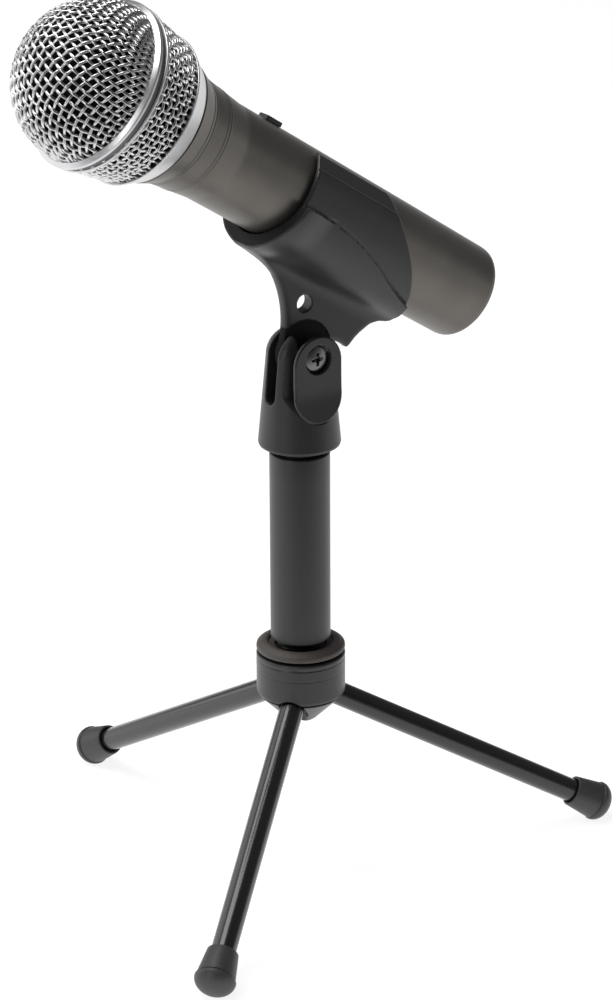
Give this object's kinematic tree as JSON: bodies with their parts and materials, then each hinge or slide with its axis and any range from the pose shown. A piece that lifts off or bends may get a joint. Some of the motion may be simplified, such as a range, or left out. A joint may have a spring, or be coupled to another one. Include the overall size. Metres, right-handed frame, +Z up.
{
  "type": "desktop microphone stand",
  "caption": "Folding three-legged desktop stand with a short post and a tilting spring clip that holds a handheld microphone with a wire ball grille.",
  "frame": {"origin": "on the table, at the middle of the plan of the whole stand with its legs spread and the microphone in the clip", "axes": "+Z up along the post; -X is the way the microphone head points; the clip tilts about Y"},
  "size_m": [0.1956, 0.174, 0.2933],
  "materials": {
    "hub_plastic": "moulded, slight gloss",
    "ring_rubber": "soft matte",
    "post_paint": "satin black powder coat",
    "leg_steel": "gloss black",
    "foot_rubber": "matte",
    "mount_rubber": "matte",
    "clip_plastic": "fine moulded texture",
    "screw_steel": "black oxide",
    "zinc_steel": "zinc plated",
    "brass": "machined",
    "handle_paint": "satin warm grey",
    "satin_silver": "satin",
    "polished_silver": "polished",
    "grille_wire": "bright woven wire",
    "dark_plastic": "moulded",
    "foam": "open cell foam",
    "board_green": "circuit board",
    "gold": "gold flash"
  },
  "bodies": {
    "hub": {"hub_body": "hub_plastic", "hub_bottom_cap": "hub_plastic", "hub_cap_screw": "zinc_steel", "post_stud": "zinc_steel", "lock_washer": "dark_plastic", "leg_pin_right": "zinc_steel", "leg_pin_left": "zinc_steel", "leg_pin_front": "zinc_steel"},
    "lock_ring": {"lock_ring": "ring_rubber"},
    "post": {"post_tube": "post_paint", "post_spigot": "zinc_steel"},
    "clip_base": {"clip_base": "clip_plastic", "thread_insert": "brass", "pivot_screw": "screw_steel", "pivot_washer": "zinc_steel", "pivot_nut": "zinc_steel"},
    "cradle": {"clip_cradle": "clip_plastic"},
    "microphone": {"mic_handle": "handle_paint", "mic_thread_collar": "zinc_steel", "mic_grille_band": "satin_silver", "mic_grille_basket": "grille_wire", "mic_grille_ring_rear": "polished_silver", "mic_grille_ring_groove": "dark_plastic", "mic_grille_ring_front": "polished_silver", "mic_grille_dome": "grille_wire", "mic_foam_liner": "foam", "mic_capsule": "dark_plastic", "mic_shock_mount": "mount_rubber", "mic_switch_plate": "dark_plastic", "mic_switch_block": "dark_plastic", "mic_circuit_board": "board_green", "mic_xlr_insert": "dark_plastic", "mic_xlr_pin_1": "gold", "mic_xlr_pin_2": "gold", "mic_xlr_pin_3": "gold", "mic_usb_socket": "zinc_steel", "mic_headphone_jack": "zinc_steel", "mic_set_screw": "zinc_steel"},
    "mic_switch": {"mic_switch_knob": "dark_plastic"},
    "leg_right": {"leg_rod_right": "leg_steel", "leg_foot_right": "foot_rubber"},
    "leg_left": {"leg_rod_left": "leg_steel", "leg_foot_left": "foot_rubber"},
    "leg_front": {"leg_rod_front": "leg_steel", "leg_foot_front": "foot_rubber"}
  },
  "joints": [
    {"name": "leg_right_fold", "type": "hinge", "parent": "hub", "child": "leg_right", "pos_m": [0.00586, -0.01996, 0.05753], "axis": [0.3469, 0.9379, 0], "range_deg": [0, 60.6]},
    {"name": "leg_left_fold", "type": "hinge", "parent": "hub", "child": "leg_left", "pos_m": [-0.00299, -0.0093, 0.05753], "axis": [-0.9857, -0.1685, 0], "range_deg": [0, 60.6]},
    {"name": "leg_front_fold", "type": "hinge", "parent": "hub", "child": "leg_front", "pos_m": [-0.0078, -0.02229, 0.05753], "axis": [0.6388, -0.7694, 0], "range_deg": [0, 60.6]},
    {"name": "lock_ring_turn", "type": "hinge", "parent": "hub", "child": "lock_ring", "pos_m": [-0.00164, -0.01718, 0.0744], "axis": [0, 0, 1], "continuous": true},
    {"name": "post_turn", "type": "hinge", "parent": "hub", "child": "post", "pos_m": [-0.00164, -0.01718, 0.0775], "axis": [0, 0, 1], "continuous": true},
    {"name": "clip_swivel", "type": "hinge", "parent": "post", "child": "clip_base", "pos_m": [-0.00164, -0.01718, 0.1412], "axis": [0, 0, 1], "continuous": true},
    {"name": "clip_tilt", "type": "hinge", "parent": "clip_base", "child": "cradle", "pos_m": [-0.00164, -0.01718, 0.17175], "axis": [0, 1, 0], "range_deg": [-110, 42]},
    {"name": "mic_slide", "type": "slide", "parent": "cradle", "child": "microphone", "axis": [-0.832, 0, 0.5548], "range_m": [0, 0.1]},
    {"name": "mic_switch_slide", "type": "slide", "parent": "microphone", "child": "mic_switch", "axis": [0.832, 0, -0.5548], "range_m": [0, 0.0035]}
  ]
}
